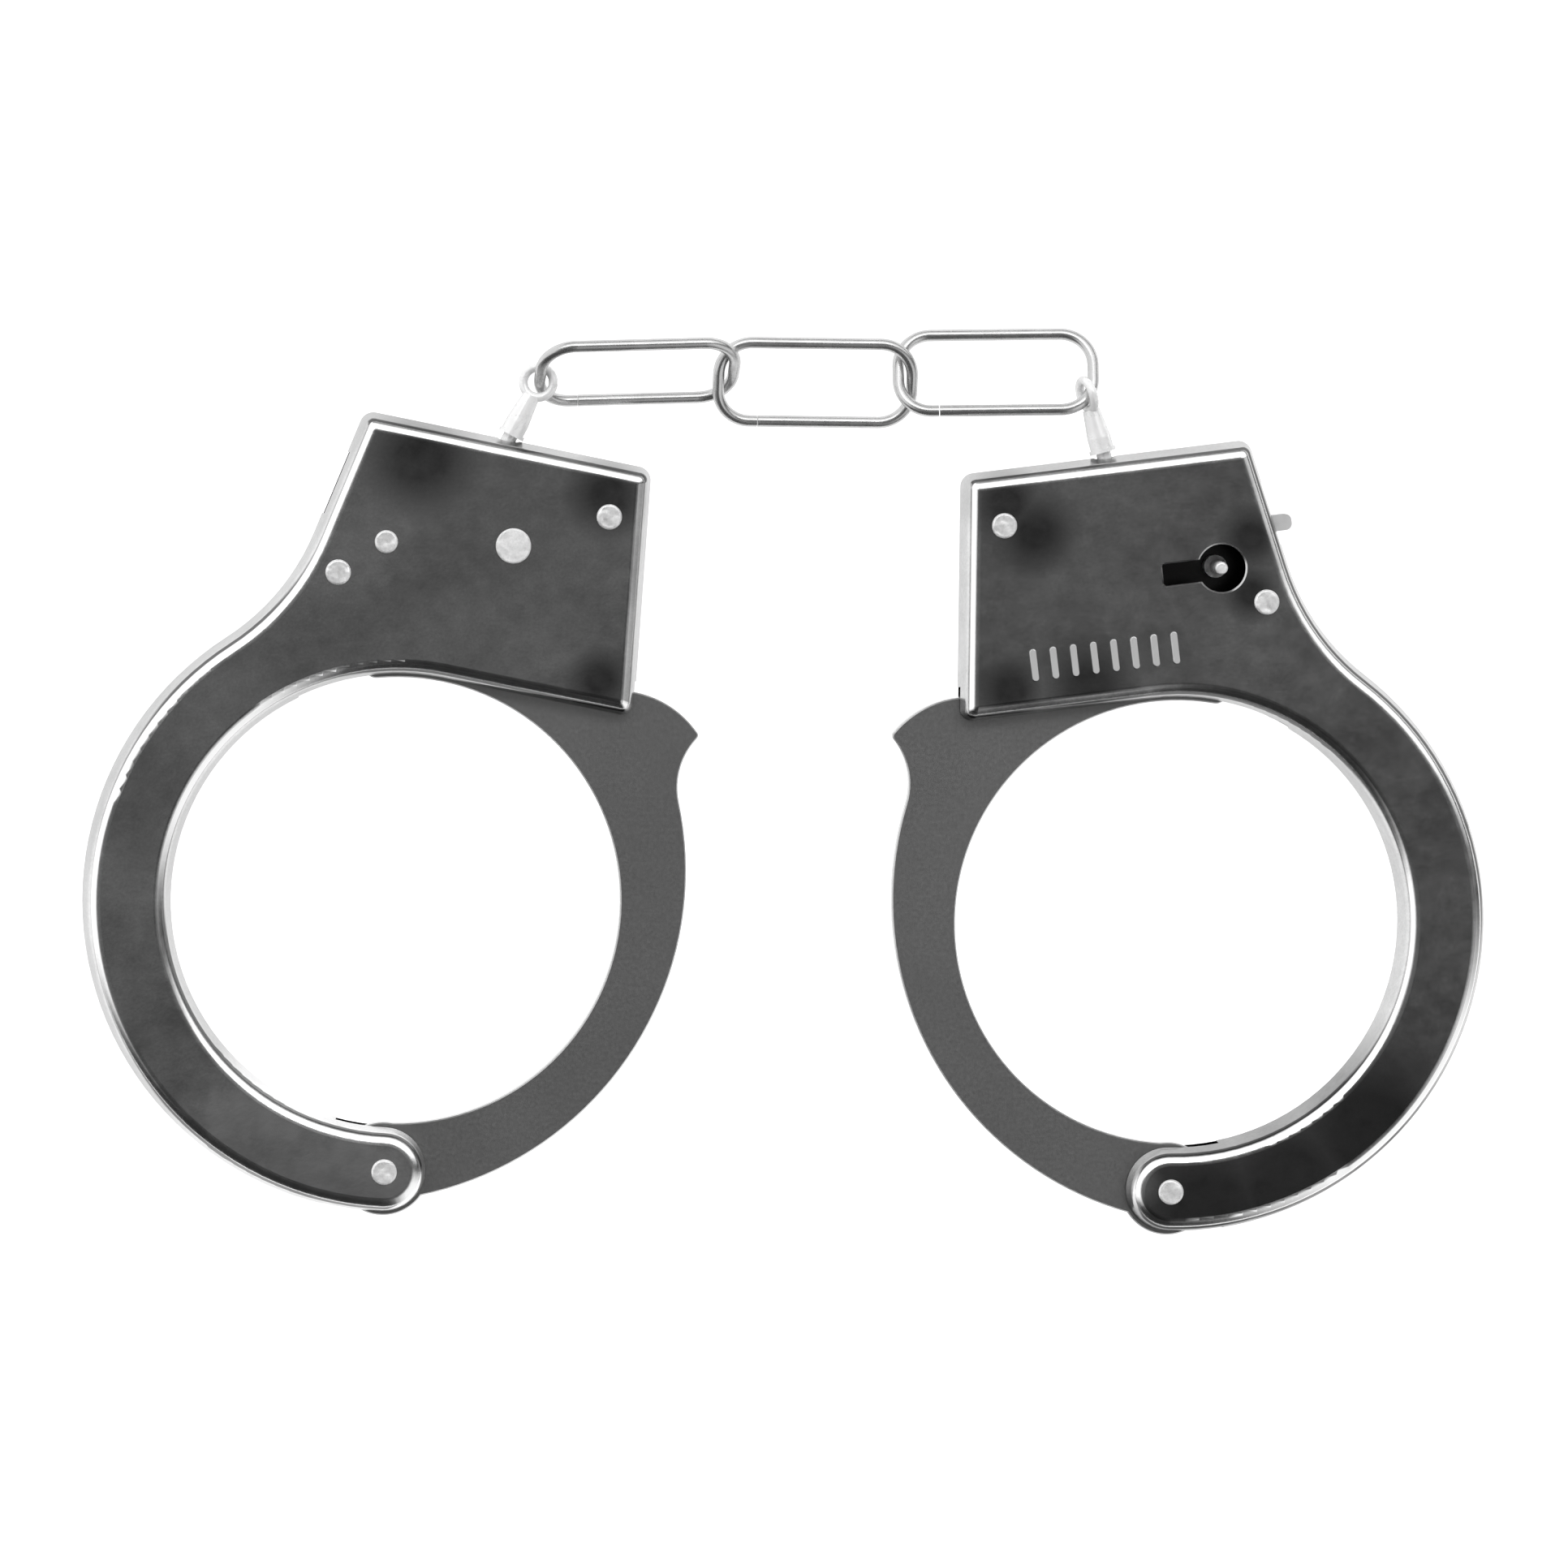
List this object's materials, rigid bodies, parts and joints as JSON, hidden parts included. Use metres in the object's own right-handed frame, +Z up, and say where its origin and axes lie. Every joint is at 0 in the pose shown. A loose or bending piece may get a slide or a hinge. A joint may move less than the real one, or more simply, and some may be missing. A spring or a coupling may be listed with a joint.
{
  "type": "handcuffs",
  "caption": "Pair of light sheet-steel handcuffs laid flat: stamped lock case and bow, flat ratchet jaw, swivel eyes and a short wire chain.",
  "frame": {"origin": "centre of the footprint, on the surface that the pair lies on", "axes": "+X from the left cuff to the right cuff, +Y from the rings towards the chain, +Z up"},
  "size_m": [0.1728, 0.1118, 0.0104],
  "materials": {
    "shell_plate": "dark nickel plate",
    "jaw_plate": "satin plated flat",
    "rivet_steel": "hammered",
    "swivel_steel": "bright plated",
    "chain_wire": "bright drawn wire",
    "inner_steel": "plain stamped",
    "spring_wire": "drawn wire"
  },
  "bodies": {
    "left_cuff": {"left_front_shell": "shell_plate", "left_back_shell": "shell_plate", "left_jaw_pivot_pin": "rivet_steel", "left_pivot_spacers": "inner_steel", "left_neck_rivet": "rivet_steel", "left_corner_rivet": "rivet_steel", "left_pawl_stud": "rivet_steel", "left_pawl_spring": "spring_wire", "left_key_post": "rivet_steel"},
    "left_jaw": {"left_jaw": "jaw_plate"},
    "left_pawl": {"left_pawl": "inner_steel"},
    "left_swivel": {"left_swivel_eye": "swivel_steel"},
    "right_cuff": {"right_front_shell": "shell_plate", "right_back_shell": "shell_plate", "right_jaw_pivot_pin": "rivet_steel", "right_pivot_spacers": "inner_steel", "right_neck_rivet": "rivet_steel", "right_corner_rivet": "rivet_steel", "right_pawl_stud": "rivet_steel", "right_pawl_spring": "spring_wire", "right_key_post": "rivet_steel"},
    "right_jaw": {"right_jaw": "jaw_plate"},
    "right_pawl": {"right_pawl": "inner_steel"},
    "right_swivel": {"right_swivel_eye": "swivel_steel"},
    "link_1": {"chain_link_1": "chain_wire"},
    "link_2": {"chain_link_2": "chain_wire"},
    "link_3": {"chain_link_3": "chain_wire"}
  },
  "joints": [
    {"name": "left_swivel_turn", "type": "hinge", "parent": "left_cuff", "child": "left_swivel", "pos_m": [-0.0344, 0.04212, 0.0052], "axis": [0.4618, 0.887, 0], "continuous": true},
    {"name": "link_1_hinge", "type": "hinge", "parent": "left_swivel", "child": "link_1", "pos_m": [-0.03076, 0.04912, 0.0052], "axis": [-0.198, 0.1031, 0.9748], "range_deg": [-15, 50]},
    {"name": "link_2_hinge", "type": "hinge", "parent": "link_1", "child": "link_2", "pos_m": [-0.00672, 0.05073, 0.00417], "axis": [0, 0, 1], "range_deg": [-16, 6]},
    {"name": "link_3_hinge", "type": "hinge", "parent": "link_2", "child": "link_3", "pos_m": [0.01535, 0.04899, 0.00243], "axis": [0.038, -0.5561, -0.8302], "range_deg": [-50, 6]},
    {"name": "right_swivel_hinge", "type": "hinge", "parent": "link_3", "child": "right_swivel", "pos_m": [0.03712, 0.04915, 0.00465], "axis": [0.364, 0.901, -0.236], "range_deg": [-8, 18]},
    {"name": "right_swivel_turn", "type": "hinge", "parent": "right_swivel", "child": "right_cuff", "pos_m": [0.03887, 0.04011, 0.0052], "axis": [-0.2756, 0.9613, 0], "continuous": true},
    {"name": "left_jaw_swing", "type": "hinge", "parent": "left_cuff", "child": "left_jaw", "pos_m": [-0.04969, -0.04726, 0.0052], "axis": [0, 0, -1], "range_deg": [-15.75, 110]},
    {"name": "left_pawl_turn", "type": "hinge", "parent": "left_cuff", "child": "left_pawl", "pos_m": [-0.034, 0.02928, 0.0052], "axis": [0, 0, -1], "range_deg": [-3, 8], "stiffness_Nm_per_rad": 0.01, "springref_deg": -5.73, "deforming": ["left_pawl_spring"]},
    {"name": "right_jaw_swing", "type": "hinge", "parent": "right_cuff", "child": "right_jaw", "pos_m": [0.0471, -0.05019, 0.0052], "axis": [0, 0, 1], "range_deg": [-15.75, 110]},
    {"name": "right_pawl_turn", "type": "hinge", "parent": "right_cuff", "child": "right_pawl", "pos_m": [0.03746, 0.02734, 0.0052], "axis": [0, 0, 1], "range_deg": [-3, 8], "stiffness_Nm_per_rad": 0.01, "springref_deg": -5.73, "deforming": ["right_pawl_spring"]}
  ]
}
